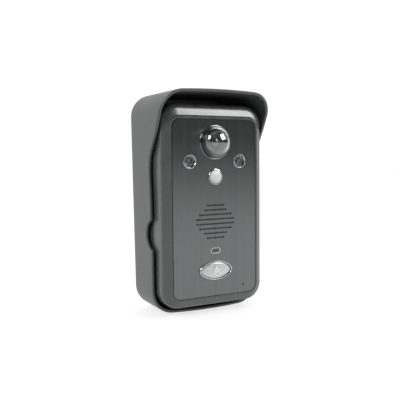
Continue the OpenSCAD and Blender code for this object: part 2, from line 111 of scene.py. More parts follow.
# %% [markdown]
# ## Camera
# The panel is seen from its left front, from a little above its middle, with a medium-long lens of
# 54 mm so that its upright edges stay nearly parallel. A turned matrix takes the three angles in the
# order of a tripod head: pan, tilt, then a half degree of roll.

# %% Camera
PAN, TILT, ROLL = math.radians(28.811), math.radians(4.019), math.radians(-0.494)
EYE = (-0.1955, -0.3797, 0.0328)
camera_data = bpy.data.cameras.new("panel_camera")
camera_data.lens = 54.0
camera_data.sensor_width = 36.0
camera_data.clip_start, camera_data.clip_end = 0.01, 50.0
camera = bpy.data.objects.new("panel_camera", camera_data)
bpy.context.scene.collection.objects.link(camera)
pan_turn = Matrix.Rotation(-PAN, 4, "Z")
tilt_turn = Matrix.Rotation(math.pi / 2 - TILT, 4, "X")
roll_turn = Matrix.Rotation(ROLL, 4, "Z")
camera.matrix_world = Matrix.Translation(EYE) @ pan_turn @ tilt_turn @ roll_turn
bpy.context.scene.camera = camera
print("camera at", tuple(round(c, 3) for c in camera.location))

# %% [markdown]
# ## How the shells and rings are shaped
# Most of this object is a skin that runs round one outline: the hood, the casing, every ring and the
# button. Each could be cut from a block with booleans, but cuts leave ragged corners that shade badly.
# Here one outline is put down as a circle primitive, and its edge is then extruded and moved to the
# next outline, step by step, the way a potter pulls up a wall. The result is clean bands of faces.
#
# An operator acts on everything that is selected, so each one starts from a single selected piece. At
# the end doubled points are merged and the faces are turned outwards.

# %% Select a piece and clean it
def only(piece):
    """Select one piece alone and make it the active one."""
    bpy.ops.object.select_all(action="DESELECT")
    piece.select_set(True)
    bpy.context.view_layer.objects.active = piece


def tidy_normals(piece, merge=0.001):
    """Merge doubled points (distance in millimetres) and point every face outwards."""
    only(piece)
    bpy.ops.object.mode_set(mode="EDIT")
    bpy.ops.mesh.select_mode(type="VERT")
    bpy.ops.mesh.select_all(action="SELECT")
    bpy.ops.mesh.remove_doubles(threshold=merge * MM)
    bpy.ops.mesh.normals_make_consistent(inside=False)
    bpy.ops.object.mode_set(mode="OBJECT")


# %% [markdown]
# A loop of edges is extruded on the spot, so its new points have the places of the old ones. That tells
# which point of the outline each new one is, and it can then move to its place in the next outline.

# %% Skin a piece over outlines
def extrude_loop(piece, place):
    """Extrude the selected loop on the spot. `place` says which point of the outline each vertex is,
    and comes back for the new loop."""
    bpy.ops.object.mode_set(mode="EDIT")
    bpy.ops.mesh.select_mode(type="EDGE")
    bpy.ops.mesh.extrude_edges_move()
    bpy.ops.object.mode_set(mode="OBJECT")
    before = {tuple(piece.data.vertices[v].co): i for v, i in place.items()}
    return {v.index: before[tuple(v.co)] for v in piece.data.vertices if v.select}


def cap_loop():
    """Close the selected loop with one face, and leave the loop selected for the next step."""
    bpy.ops.object.mode_set(mode="EDIT")
    bpy.ops.mesh.edge_face_add()
    bpy.ops.mesh.select_mode(type="EDGE")
    bpy.ops.mesh.select_mode(type="VERT")
    bpy.ops.object.mode_set(mode="OBJECT")


def skin(name, outlines, ends="capped"):
    """A skin pulled over outlines of (x, depth, z) points in millimetres. Its ends are capped with one
    face each, or closed onto each other for a ring."""
    bpy.ops.object.select_all(action="DESELECT")
    bpy.ops.mesh.primitive_circle_add(vertices=len(outlines[0]), radius=MM)
    piece = bpy.context.active_object
    piece.name = piece.data.name = name
    bpy.ops.object.mode_set(mode="EDIT")
    bpy.ops.mesh.select_all(action="SELECT")
    bpy.ops.object.mode_set(mode="OBJECT")
    place = {i: i for i in range(len(outlines[0]))}
    for number, outline in enumerate(outlines):
        if number:
            place = extrude_loop(piece, place)
        for v, i in place.items():
            x, d, z = outline[i]
            piece.data.vertices[v].co = Vector((x, FRONT + d, z)) * MM
        if ends == "capped" and number in (0, len(outlines) - 1):
            cap_loop()
    tidy_normals(piece)
    return piece


# %% [markdown]
# ## Shading, and saying what a piece stands for
# Plain smooth shading makes a large flat face look dented beside a small radius. Weighted normals let
# the large faces lead, and edges above 32 degrees stay sharp. A finished piece is then put on the body it
# moves with and named with the finish it takes, and the imported pieces it stands for are hidden.

# %% Finish a piece
def shaded(piece, angle=32.0):
    """Smooth shading that keeps real corners, with large flat faces leading the normals."""
    only(piece)
    bpy.ops.object.shade_smooth_by_angle(angle=math.radians(angle))
    weighted = piece.modifiers.new("even_shading", "WEIGHTED_NORMAL")
    weighted.keep_sharp = True
    bpy.ops.object.modifier_apply(modifier=weighted.name)


def stand_in(piece, body, slot, *replaced):
    """Shade a finished piece, put it on its body, hide the imported pieces it stands for and give it its
    finish slot.
    """
    shaded(piece)
    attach(piece, body)
    if replaced:
        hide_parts(*replaced)
    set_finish(piece, slot)
    low, high = Vector(piece.bound_box[0]), Vector(piece.bound_box[6])
    print(piece.name, len(piece.data.polygons), "faces", in_mm(high - low), "mm")


# %% [markdown]
# ## Outlines
# A rounded rectangle that keeps its corner centres while it shrinks gives walls of even thickness. The
# circle and the bar with round ends follow the same idea: `grow` moves the whole outline outwards or
# inwards.

# %% Outline makers
def corner(cx, cz, radius, start, steps):
    """Points of a quarter turn, in degrees from `start`."""
    turn = [math.radians(start + 90 * i / steps) for i in range(steps + 1)]
    return [(cx + radius * math.cos(a), cz + radius * math.sin(a)) for a in turn]


def rounded_box(half_w, low, high, radius, heights, grow=0.0, steps=12, flats=7):
    """A rounded rectangle, anticlockwise from the lower right. `heights` are the points up its sides."""
    cx, low_c, high_c, r = half_w - radius, low + radius, high - radius, radius + grow
    across = [cx * (1 - 2 * (i + 1) / (flats + 1)) for i in range(flats)]
    side = [z for z in heights if low_c < z < high_c]
    points = [(half_w + grow, z) for z in side]
    points += corner(cx, high_c, r, 0, steps)
    points += [(x, high + grow) for x in across]
    points += corner(-cx, high_c, r, 90, steps)
    points += [(-half_w - grow, z) for z in reversed(side)]
    points += corner(-cx, low_c, r, 180, steps)
    points += [(-x, low - grow) for x in across]
    points += corner(cx, low_c, r, 270, steps)
    return points


def circle(cx, cz, radius, count=64):
    """A circle, anticlockwise from the right."""
    turn = [2 * math.pi * i / count for i in range(count)]
    return [(cx + radius * math.cos(a), cz + radius * math.sin(a)) for a in turn]


def round_bar(cz, width, height, grow=0.0, steps=14):
    """A bar with round ends."""
    cx, r = (width - height) / 2, height / 2 + grow
    right = [math.radians(-90 + 180 * i / steps) for i in range(steps + 1)]
    points = [(cx + r * math.cos(a), cz + r * math.sin(a)) for a in right]
    return points + [(-x, 2 * cz - z) for x, z in points]


def at_depth(points, d):
    """Lift a flat outline into place at one depth."""
    return [(x, d, z) for x, z in points]


# %% [markdown]
# ### Oval of the call button
# The button's outline is not an ellipse: it has tight round ends and long shallow sides, as a mould
# maker draws it with four arcs that meet without a kink. From the length, the height and the radius of
# the ends, the radius of the sides follows.

# %% Oval of the call button
OVAL_W = span("button_bezel", 0)[1] * 2
OVAL_H = size("button_bezel", 2)


def oval(grow=0.0, end_r=4.0, steps=12):
    """The four-arc oval, from the foot of its right end."""
    cx, rise = OVAL_W / 2 - end_r, OVAL_H / 2 - end_r
    drop = (cx * cx - rise * rise) / (2 * rise)
    side_r = OVAL_H / 2 + drop + grow
    swing = math.degrees(math.atan2(cx, drop))
    lean = 90 - swing
    points = []
    for i in range(steps):
        a = math.radians(-lean + 2 * lean * i / steps)
        points.append((cx + (end_r + grow) * math.cos(a), (end_r + grow) * math.sin(a)))
    for i in range(2 * steps):
        a = math.radians(lean + 2 * swing * i / (2 * steps))
        points.append((side_r * math.cos(a), side_r * math.sin(a) - drop))
    points += [(-x, -z) for x, z in points]
    return [(x, z + BUTTON_Z) for x, z in points]


print("oval", round(OVAL_W, 1), "by", round(OVAL_H, 1), "mm,", len(oval()), "points")

# %% [markdown]
# ## Cutting holes
# Screw holes and openings have crisp edges on the real mouldings, so they are cut last. A cutter is a
# short skin of the same outline, taken away with an exact boolean.

# %% Cut or join
def combine(piece, tool, operation="DIFFERENCE"):
    """Take a tool piece away from a piece, or join it on, and remove the tool."""
    only(piece)
    change = piece.modifiers.new("combine", "BOOLEAN")
    change.operation, change.solver, change.object = operation, "EXACT", tool
    bpy.ops.object.modifier_apply(modifier=change.name)
    bpy.data.objects.remove(tool)


def cut(piece, outline, near, far):
    """Cut an outline through a piece between two depths."""
    combine(piece, skin("cutter", [at_depth(outline, near), at_depth(outline, far)]))


def bar_along_z(name, x, d, low, high, radius, count=48):
    """An upright round bar, as a screw shank or a boss at the underside."""
    outline = circle(x, d, radius, count)
    return skin(name, [[(px, pd, z) for px, pd in outline] for z in (low, high)])


# %% [markdown]
# ## Rain hood
# The hood is one injection-moulded shell, 2 mm thick. It stands out over the camera at the top, its rim
# slopes back down both sides, and a scoop on each side lets two fingers reach the camera unit. Cutting
# the rim from a box would leave a hard edge that is thinner where the cut is steep. Instead each point
# of the outline is pulled forward exactly to the rim line, rolled over it and taken back inside.

# %% Rim line of the hood
RIM_D = 13.6
# The visor's edge: its depth at one height, and from there its slope and how much that eases off.
VISOR_Z, VISOR_D, VISOR_SLOPE, VISOR_CURVE = 57.0, 0.35, 0.489, 0.0048
# The side's edge swells back round one height, and comes forward again below the finger scoop.
SWELL, SWELL_Z, SWELL_LENGTH = 1.1, 24.0, 13.0
STEP, STEP_Z, STEP_LENGTH = 1.1, -20.0, 8.0
# The scoop is part of a circle. The blends soften the corners where two lines meet.
NOTCH_Z, NOTCH_D, NOTCH_R = -16.3, 11.0, 9.9
VISOR_BLEND, NOTCH_BLEND = 0.9, 0.55


def smooth_low(a, b, blend):
    """The smaller of two values, with a soft change from one to the other."""
    m = min(a, b)
    return m - blend * math.log(math.exp((m - a) / blend) + math.exp((m - b) / blend))


def ease(t):
    """0 before 0 and 1 after 1, with a soft change between."""
    t = min(max(t, 0.0), 1.0)
    return t * t * (3 - 2 * t)


def rim_depth(z):
    """How far behind the faceplate the rim lies at height z."""
    up = z - VISOR_Z
    visor_line = VISOR_D - VISOR_SLOPE * up + VISOR_CURVE * up * up
    step = ease((z - STEP_Z) / STEP_LENGTH)
    swell = SWELL * math.exp(-(((z - SWELL_Z) / SWELL_LENGTH) ** 2))
    side_line = RIM_D - STEP * (1 - step) + swell
    rim = smooth_low(visor_line, side_line, VISOR_BLEND) if z > 0 else side_line
    away = z - NOTCH_Z
    if abs(away) < NOTCH_R:
        scoop = NOTCH_D + math.sqrt(NOTCH_R**2 - away**2)
        rim = -smooth_low(-rim, -scoop, NOTCH_BLEND)
    return max(rim, -VISOR)


def rows(low, step, count):
    """Evenly spaced heights."""
    return [low + step * i for i in range(count)]


# Heights of the points up the sides, close together where the rim bends.
heights = rows(-50, 4, 5) + rows(-30, 1, 29) + rows(2, 4, 5) + [21] + rows(24, 1.5, 17) + [52, 56, 59]
print("rim from", round(rim_depth(HOOD_TOP), 1), "to", round(rim_depth(HOOD_BOT), 1))

# %% [markdown]
# The walls aren't quite flat and straight. As on the real moulding, the top and bottom are arched by
# less than a millimetre, and the hood narrows a little towards the bottom, more so at the back.

# %% One ring of the hood
HOOD_R = 15.0
ARCH_TOP, ARCH_LOW = 0.7, 0.8
END_WALLS_Z = 50
# How much each side comes in at the bottom, at the rim and on top of that at the back.
TAPER_RIM, TAPER_BACK, TAPER_HEIGHT = 0.5, 1.2, 114.0
# Points nearer the middle than this come in less.
TAPER_FULL_X = 20.0


def hood_ring(grow, reach, offset):
    """One ring of the hood. `reach` runs from 0 at the wall to 1 at the rim."""
    ring = []
    base = rounded_box(HOOD_X, HOOD_BOT + ARCH_LOW, HOOD_TOP - ARCH_TOP, HOOD_R, heights, grow, 14)
    for x, z in base:
        rim = rim_depth(z)
        d = BACK + (rim - BACK) * reach + offset
        behind = (d - rim) / (BACK - rim)
        fall = max(0.0, HOOD_TOP - HOOD_R - z) / TAPER_HEIGHT
        taper = fall * (TAPER_RIM + TAPER_BACK * behind)
        x -= math.copysign(taper, x) * min(1.0, abs(x) / TAPER_FULL_X)
        if abs(z) > END_WALLS_Z:
            bow = 1 - min(1.0, abs(x) / (HOOD_X - HOOD_R)) ** 2
            z += bow * (ARCH_TOP if z > 0 else -ARCH_LOW)
        ring.append((x, d, z))
    return ring


print("a ring of the hood has", len(hood_ring(0, 0, 0)), "points")

# %% [markdown]
# The rings run from the back up a rounded corner of 3 mm, forward to the rim, round the rim's roll and
# back along the inside to the inner corner. Each step is an inset and a distance along the depth.

# %% Pull the hood from its back to its rim and back inside
WALL, BACK_R = 2.0, 3.0
RIM_ROLL = [(0, 0.9), (-0.07, 0.5), (-0.27, 0.2), (-0.65, 0.0),
            (-1.3, 0.0), (-1.7, 0.15), (-1.93, 0.45), (-2, 0.9)]
INNER_CORNER = [(-2, -4), (-2.25, -3.3), (-2.9, -2.7), (-3.8, -2.5)]

hood_rings = []
for degrees in range(0, 91, 18):
    a = math.radians(degrees)
    hood_rings.append(hood_ring(-BACK_R * (1 - math.sin(a)), 0, -BACK_R * (1 - math.cos(a))))
hood_rings += [hood_ring(0, reach, 0) for reach in (0.25, 0.5, 0.75, 0.93)]
hood_rings += [hood_ring(grow, 1, offset) for grow, offset in RIM_ROLL]
hood_rings += [hood_ring(-WALL, reach, 0) for reach in (0.9, 0.7, 0.4, 0.2)]
hood_rings += [hood_ring(grow, 0, offset) for grow, offset in INNER_CORNER]
hood = skin("rain_hood_shell", hood_rings)
print("hood", len(hood.data.polygons), "faces")

# %% [markdown]
# The back of the hood has four holes for the wall screws and a rounded opening for the wires. Two
# drain holes go through the bottom.

# %% Holes of the hood
WALL_SCREW_X, WALL_SCREW_Z, WALL_SCREW_R = 24, 45, 2.25
WIRE_Z, WIRE_HALF_W, WIRE_HALF_H, WIRE_R = 40, 14, 7.5, 3
DRAIN_X, DRAIN_D, DRAIN_R = 22, 36, 2.0

for x in (-WALL_SCREW_X, WALL_SCREW_X):
    for z in (-WALL_SCREW_Z, WALL_SCREW_Z):
        cut(hood, circle(x, z, WALL_SCREW_R, 32), BACK - 8, BACK + 1)
wire_opening = rounded_box(WIRE_HALF_W, -WIRE_HALF_H, WIRE_HALF_H, WIRE_R, [0], steps=6, flats=3)
cut(hood, [(x, z + WIRE_Z) for x, z in wire_opening], BACK - 6, BACK + 1)
for x in (-DRAIN_X, DRAIN_X):
    combine(hood, bar_along_z("drain", x, DRAIN_D, HOOD_BOT - 2, HOOD_BOT + 4, DRAIN_R, 32))
print("hood with its holes", len(hood.data.polygons), "faces")

# %% [markdown]
# Four pads carry the casing, and a tab hooks its top edge. A boss at the bottom takes the lock screw,
# whose head sinks into a recess from below. They are moulded with the shell, so they are joined to it.

# %% Pads, tab and boss of the hood
PAD_X, PAD_HEIGHTS, PAD_R = 14, (-52, 56), 3
# Depth of the pads' rounded front edge, and of their front face just behind the casing.
PAD_EDGE_D, PAD_FACE_D = 40.0, 39.65
TAB_X, TAB_LOW, TAB_HIGH, TAB_DEPTHS = 5, 60, 62, (38.3, 43.5)
LOCK_D, BOSS_R, SHANK_R, HEAD_R = 28, 5.0, 1.7, 3.2

for x in (-PAD_X, PAD_X):
    for z in PAD_HEIGHTS:
        steps = ((BACK - 1, PAD_R), (PAD_EDGE_D, PAD_R), (PAD_FACE_D, PAD_R - 0.3))
        pad = skin("pad", [at_depth(circle(x, z, r, 32), d) for d, r in steps])
        combine(hood, pad, "UNION")
tab = [(-TAB_X, TAB_LOW), (TAB_X, TAB_LOW), (TAB_X, TAB_HIGH), (-TAB_X, TAB_HIGH)]
combine(hood, skin("tab", [at_depth(tab, d) for d in TAB_DEPTHS]), "UNION")
combine(hood, bar_along_z("boss", 0, LOCK_D, HOOD_BOT + 0.5, CASE_BOT - 0.5, BOSS_R), "UNION")
combine(hood, bar_along_z("shank_hole", 0, LOCK_D, HOOD_BOT - 2, HOOD_BOT + 10, SHANK_R))
combine(hood, bar_along_z("head_recess", 0, LOCK_D, HOOD_BOT - 2, HOOD_BOT + 2, HEAD_R))
tidy_normals(hood, 0.002)
stand_in(hood, "panel", "hood_plastic", "rain_hood")

# %% [markdown]
# ## Front of the casing
# The casing's front is a tray: a flat frame round the faceplate, a sloped border at the sides and below,
# and a fuller brow rolled over the top, with a thin crease where the brow meets the frame. The tray
# could be cut from a block, but the brow has to die away round its corners. As rings, each step has its
# own depth and height for the top, which the corners blend into.

# %% One ring of the front casing
CASE_R = 11.5
PLAIN_TOP = -CASE_BOT
# Depth of the parting line at the bottom, and the step back that it takes from one height upwards.
PARTING_D, PARTING_STEP, PARTING_Z, PARTING_LENGTH = 12.2, 3.3, -27.5, 6.0


def parting(z):
    """Depth of the line where the front and rear casing meet, which steps forward below the scoops."""
    return PARTING_D + PARTING_STEP * ease((z - PARTING_Z) / PARTING_LENGTH)


def case_ring(grow, d_side, z_top, d_top):
    """One ring: its inset, its depth at the sides, and its height and depth along the top. No depth
    means the parting line, with the last value as the distance in front of it."""
    ring = []
    lift = z_top - (PLAIN_TOP + grow)
    shoulder = PLAIN_TOP - CASE_R
    for x, z in rounded_box(CASE_X, CASE_BOT, PLAIN_TOP, CASE_R, heights, grow, 12):
        weight = ease(min(1.0, (z - shoulder) / max(0.5, CASE_R + grow))) if z > shoulder else 0.0
        z += lift if z >= shoulder - 1e-6 else 0.0
        if d_side is None:
            d = parting(z) - d_top
        else:
            d = d_side + (d_top - d_side) * weight
        ring.append((x, d, z))
    return ring


print("a ring of the casing has", len(case_ring(0, 0, CASE_TOP, 0)), "points")

# %% [markdown]
# The rings start on the floor of the tray, go over the frame and down into the crease, climb the brow,
# which leans back at first and curls over at its end, and follow the outer wall to the parting line.
# There they turn inwards, so the wall is 2 mm thick.

# %% Pull the front casing
# Width of the sloped border and how far back it falls.
BORDER, BORDER_D = 4.9, 3.5
# Gap round the faceplate, depth of the tray's floor and size of the frame's broken edge.
GROOVE, TRAY_D, EDGE = 0.4, 1.5, 0.12
# Depth of the crease, and of the brow's foot on its far side.
CREASE_D = 0.8
FOOT_D = CREASE_D - 0.5
# Height and depth of the brow, its lean back low down, and how full it swells above that.
FRAME_TOP = PLATE_TOP + 2.7
BROW_RISE, BROW_D = CASE_TOP - FRAME_TOP, 10.0
BROW_LEAN, BROW_SWELL = 0.27, 2.2

inset, tray_top = -(CASE_X - PLATE_X - GROOVE), PLATE_TOP + GROOVE
tray = [(inset, TRAY_D, tray_top, TRAY_D), (inset, EDGE, tray_top, EDGE),
        (inset + EDGE, 0, tray_top + EDGE, 0)]
crease = [(-BORDER - 0.3, 0, FRAME_TOP - 0.45, 0), (-BORDER - 0.27, 0, FRAME_TOP - 0.42, CREASE_D),
          (-BORDER - 0.15, 0, FRAME_TOP, FOOT_D)]
brow = []
for step in (0.02, 0.08, 0.17, 0.28, 0.4, 0.52, 0.64, 0.75, 0.86):
    rise = BROW_RISE * (1 - (1 - step) ** BROW_SWELL)
    curl = (BROW_D - BROW_LEAN * BROW_RISE) * step ** 3
    back = FOOT_D * (1 - step) + BROW_LEAN * rise + curl
    brow.append((-BORDER * (1 - step), BORDER_D * step, FRAME_TOP + rise, back))
wall = [(-0.22, 3.6, CASE_TOP - 0.12, BROW_D - 0.9), (0, 4.6, CASE_TOP, BROW_D + 0.3),
        (0, 9.0, CASE_TOP, 12.5)]
lip = [(grow, None, CASE_TOP + grow, ahead)
       for grow, ahead in ((0, 0.35), (-0.1, 0.1), (-0.35, 0), (-1.7, 0), (-2, 0.3))]
inside = [(-2, 8.0, CASE_TOP - 2, 11.0), (-2, 5.0, CASE_TOP - 3.6, 7.0), (-2.8, 3.5, CASE_TOP - 8, 3.5)]
casing = skin("front_casing", [case_ring(*step) for step in tray + crease + brow + wall + lip + inside])
print("casing", len(casing.data.polygons), "faces")

# %% [markdown]
# The dome, the lamps, the sensor and the button look through openings that their rings overlap. The
# light pipe passes through its own with 0.1 mm round it. Behind the faceplate's small holes, the speaker
# and the microphone get a plain round opening each.

# %% Openings in the tray
DOME_HOLE_R, LAMP_HOLE_R, SENSOR_HOLE_R = 10.4, 3.2, 4.65
SPEAKER_HOLE_R, MICROPHONE_HOLE_R = 15.0, 0.8
PIPE_W, PIPE_H, PIPE_GAP = 7.1, 3.7, 0.1
BUTTON_LEDGE = 1.05

openings = [circle(0, DOME_Z, DOME_HOLE_R)]
openings += [circle(side * LAMP_X, LAMP_Z, LAMP_HOLE_R, 32) for side in (-1, 1)]
openings += [circle(0, SENSOR_Z, SENSOR_HOLE_R, 40)]
openings += [circle(0, middle("speaker_mesh", 2), SPEAKER_HOLE_R)]
openings += [round_bar(STATUS_Z, PIPE_W, PIPE_H, PIPE_GAP), oval(-BUTTON_LEDGE)]
openings += [circle(middle("microphone", 0), middle("microphone", 2), MICROPHONE_HOLE_R, 24)]
for opening in openings:
    cut(casing, opening, -1, 9)
tidy_normals(casing, 0.002)
stand_in(casing, "panel", "case_plastic", "front_shell")

# %% [markdown]
# ## Rings, lenses and the dome
# The chrome rings, the lamp windows, the motion lens and the dome are all turned shapes. Their
# profiles are drawn as radius and depth, and the skin runs round them.

# %% Turned pieces
def turned(name, cx, cz, profile, ends="capped", count=64):
    """A turned piece with a profile of (radius, depth) points."""
    if ends == "ring":
        profile = profile + profile[:1]
    return skin(name, [at_depth(circle(cx, cz, r, count), d) for r, d in profile], ends)


def ball(radius, centre_d, start, end, steps):
    """Profile of a ball, by angle from its front pole in degrees."""
    angles = [math.radians(start + (end - start) * i / steps) for i in range(steps + 1)]
    return [(max(radius * math.sin(a), 0.02), centre_d - radius * math.cos(a)) for a in angles]


# %% [markdown]
# The dome is a clear half ball, 1.4 mm thick, with a flange that the seal presses on. Its ring is a
# rounded trim that hides the edge of the faceplate's hole.

# %% Dome and its ring
DOME_WALL, DOME_FLANGE = 1.4, 2.6
DOME_R = size("lens_dome", 2) / 2 - DOME_FLANGE

outer_dome = ball(DOME_R, 0, 0, 90, 20)
inner_dome = ball(DOME_R - DOME_WALL, 0, 90, 0, 16)
flange = [(DOME_R, 4.0), (DOME_R + DOME_FLANGE, 4.1), (DOME_R + DOME_FLANGE, 5.4), (DOME_R - DOME_WALL, 5.4)]
dome = turned("camera_dome", 0, DOME_Z, outer_dome + flange + inner_dome, count=80)
stand_in(dome, "panel", "clear_dome", "lens_dome")
trim_profile = [(0.15, 1.5), (0.15, -0.1), (0.27, -0.38), (0.5, -0.5),
                (0.75, -0.42), (0.98, -0.18), (1.05, 0.1), (1.05, 1.5)]
dome_ring = turned("dome_ring", 0, DOME_Z, [(DOME_R + out, d) for out, d in trim_profile], "ring", 96)
stand_in(dome_ring, "panel", "bright_trim", "dome_bezel")

# %% [markdown]
# Behind the dome stands the camera: a black barrel with a rolled front edge, a small domed lens and a
# stepped black well that keeps stray light away from it.

# %% Camera behind the dome
barrel_profile = [(3.9, 10.4), (3.9, 1.1), (3.7, 1.0), (3.7, -1.9), (3.5, -2.15), (3.1, -2.2), (2.95, -1.8),
                  (2.72, -1.75), (2.7, -0.9), (1.9, -0.8), (1.9, 10.4)]
barrel = turned("camera_barrel_ribbed", 0, DOME_Z, barrel_profile, "ring", 48)
stand_in(barrel, "panel", "black_plastic", "camera_barrel")
front_glass = ball(5.4, 3.2, 0, 29, 8) + [(2.64, -0.95)]
lens = turned("camera_front_lens", 0, DOME_Z, front_glass, count=48)
stand_in(lens, "panel", "lens_glass", "camera_lens")
well = [(8.55, 2.4), (8.55, 1.6), (7.4, 1.6), (7.2, 2.0), (6.2, 2.0), (6.0, 1.7), (5.0, 1.7), (4.8, 2.1),
        (4.1, 2.1), (4.1, 2.4)]
baffle = turned("camera_well", 0, DOME_Z, well, "ring", 64)
stand_in(baffle, "panel", "black_plastic", "camera_baffle")

# %% [markdown]
# ## Infrared lamps
# A lamp is a clear epoxy bead of 5 mm with two pins, in a silvered cup behind a clear cover, and a
# bright ring frames it. Each piece is modelled once on one side and copied to the other.

# %% Copy to the other side
def join(first, *others):
    """Join pieces into one object."""
    only(first)
    for other in others:
        other.select_set(True)
    bpy.ops.object.join()
    return first


def paired(piece):
    """A lamp piece joined to a copy with its own mesh, moved to the other lamp."""
    twin = piece.copy()
    twin.data = piece.data.copy()
    bpy.context.scene.collection.objects.link(twin)
    for v in twin.data.vertices:
        v.co.x -= 2 * LAMP_X * MM
    return join(piece, twin)


# %% [markdown]
# The ring's profile runs over its round front edge, and the cover is a disc that dips slightly towards
# its rim. The cup opens forward like a small bowl.

# %% Infrared lamps
lamp_profile = [(3.62, 1.5), (3.62, 0.75), (3.72, 0.1), (3.95, -0.28), (4.2, -0.43), (4.45, -0.4),
                (4.64, -0.2), (LAMP_RING_R, 0.1), (LAMP_RING_R, 1.5)]
lamp_rings = paired(turned("lamp_rings", LAMP_X, LAMP_Z, lamp_profile, "ring"))
stand_in(lamp_rings, "panel", "bright_trim", "lamp_bezels")
window_profile = [(0.02, 0.62), (1.5, 0.64), (3.3, 0.72), (3.56, 0.85), (3.56, 1.4), (0.02, 1.4)]
lamp_windows = paired(turned("lamp_covers", LAMP_X, LAMP_Z, window_profile))
stand_in(lamp_windows, "panel", "clear_window", "lamp_windows")

LED_R, PIN_X, PIN_R = 2.5, 1.27, 0.28
led_profile = ball(LED_R, 4.5, 0, 90, 10) + [(LED_R, 8.0), (2.9, 8.05), (2.9, 9.0), (0.02, 9.0)]
led_lamp = turned("infrared_lamps", LAMP_X, LAMP_Z, led_profile, count=32)
for side in (-1, 1):
    pin = turned("pin", LAMP_X + side * PIN_X, LAMP_Z, [(PIN_R, 9.0), (PIN_R, 14.0)], count=10)
    led_lamp = join(led_lamp, pin)
stand_in(paired(led_lamp), "panel", "led_epoxy", "infrared_leds")
cup_profile = [(2.95, 1.75), (3.5, 1.75), (3.5, 3.4), (3.2, 4.2), (2.75, 4.6), (2.75, 4.2), (2.95, 3.4)]
lamp_cups = paired(turned("lamp_cups", LAMP_X, LAMP_Z, cup_profile, "ring", 32))
stand_in(lamp_cups, "panel", "bright_trim")

# %% [markdown]
# ## Motion sensor
# A milky lens bulges a little out of a bright ring. It is a thin cap with a rim that reaches back to
# the sensor can, so its profile goes out along the front, back along the rim and home along the inside.

# %% Motion sensor
SENSOR_R = size("pir_bezel", 0) / 2

sensor_profile = [(0.85, 1.5), (0.85, -0.35), (0.72, -0.62), (0.5, -0.78),
                  (0.22, -0.7), (0.04, -0.45), (0, -0.1), (0, 1.5)]
sensor_edge = [(SENSOR_R - inset, d) for inset, d in sensor_profile]
sensor_ring = turned("sensor_ring", 0, SENSOR_Z, sensor_edge, "ring")
stand_in(sensor_ring, "panel", "bright_trim", "pir_bezel")
milky = ball(7.9, 6.0, 0, 32, 9) + [(SENSOR_R - 0.97, 0.2), (SENSOR_R - 0.97, 4.3), (SENSOR_R - 1.75, 4.3)]
milky += [(SENSOR_R - 1.75, 0.4), (2.0, -0.7), (0.02, -1.0)]
motion_lens = turned("motion_lens", 0, SENSOR_Z, milky)
stand_in(motion_lens, "panel", "fresnel_white", "pir_lens")

# %% [markdown]
# ## Status light
# A pale light pipe shows as a thin outline round a smoked window. Both are bars with round ends, so the
# skin runs over `round_bar` outlines with a small roll at the front edge.

# %% Status light
PIPE_END_D = 12.6
WINDOW_W, WINDOW_H = 6.2, 2.8

pipe_steps = [(0.0, PIPE_END_D), (0.0, 0.1), (-0.08, -0.05), (-0.2, -0.1), (-0.3, -0.1),
              (-0.38, 0.0), (-0.42, 0.15), (-0.42, PIPE_END_D), (0.0, PIPE_END_D)]
pipe_rings = [at_depth(round_bar(STATUS_Z, PIPE_W, PIPE_H, grow), d) for grow, d in pipe_steps]
status_ring = skin("status_light_pipe", pipe_rings, "ring")
stand_in(status_ring, "panel", "light_pipe", "status_ring")
window_steps = [(0.0, 3.5), (0.0, 0.28), (-0.12, 0.14), (-0.4, 0.1)]
window_rings = [at_depth(round_bar(STATUS_Z, WINDOW_W, WINDOW_H, grow), d) for grow, d in window_steps]
status_window = skin("status_smoked_window", window_rings)
stand_in(status_window, "panel", "smoked_window", "status_window")

# %% [markdown]
# ## Call button
# The button is a satin cap with a shallow crown in a bright oval ring, with a raised bell on it. The
# crown follows a ball of 60 mm radius, so the light slides over it when the cap goes in.

# %% Ring and crown of the call button
bezel_steps = [(-1.1, 1.5), (-1.1, -0.35), (-0.98, -0.65), (-0.72, -0.85), (-0.42, -0.85),
               (-0.15, -0.62), (0.0, -0.25), (0.0, 1.5), (-1.1, 1.5)]
button_ring = skin("button_ring", [at_depth(oval(grow), d) for grow, d in bezel_steps], "ring")
stand_in(button_ring, "panel", "bright_trim", "button_bezel")

CAP_FRONT, CROWN_R = -1.05, 60.0


def crowned(points, drop=0.0):
    """Lay a flat outline on the crown of the cap, or a given depth below it."""
    ring = []
    for x, z in points:
        off = x * x + (z - BUTTON_Z) ** 2
        ring.append((x, CAP_FRONT + CROWN_R - math.sqrt(CROWN_R**2 - off) + drop, z))
    return ring


def cap_ring(grow, scale, drop):
    """A ring of the cap: the oval, moved inwards and then scaled, on the crown."""
    return crowned([(x * scale, BUTTON_Z + (z - BUTTON_Z) * scale) for x, z in oval(grow)], drop)


# %% [markdown]
# The cap starts at its skirt, which is wider than the opening so that it can't fall out, and rises
# through a rounded edge to the crown. A round stem behind it pushes the switch.

# %% Cap of the call button
SKIRT, CAP_EDGE = 0.1, -1.95

cap_rings = [at_depth(oval(SKIRT), 4.5), at_depth(oval(SKIRT), 3.5), at_depth(oval(-1.35), 3.45)]
cap_rings += [cap_ring(grow, 1, drop) for grow, drop in ((-1.35, 0.5), (-1.42, 0.26), (-1.62, 0.08))]
cap_rings += [cap_ring(CAP_EDGE, scale, 0.0) for scale in (1, 0.88, 0.72, 0.55, 0.38, 0.22, 0.08)]
button = skin("call_button_cap", cap_rings)
stem = turned("stem", 0, BUTTON_Z, [(2.0, 4.4), (2.0, 9.1), (1.7, 9.4)], count=32)
button = join(button, stem)
stand_in(button, "call_button", "button_metal", "call_button")

# %% [markdown]
# The bell is a plain sign for a doorbell. Half of its outline is drawn and mirrored, and its rings give
# it a raised edge round a face that is sunk slightly.

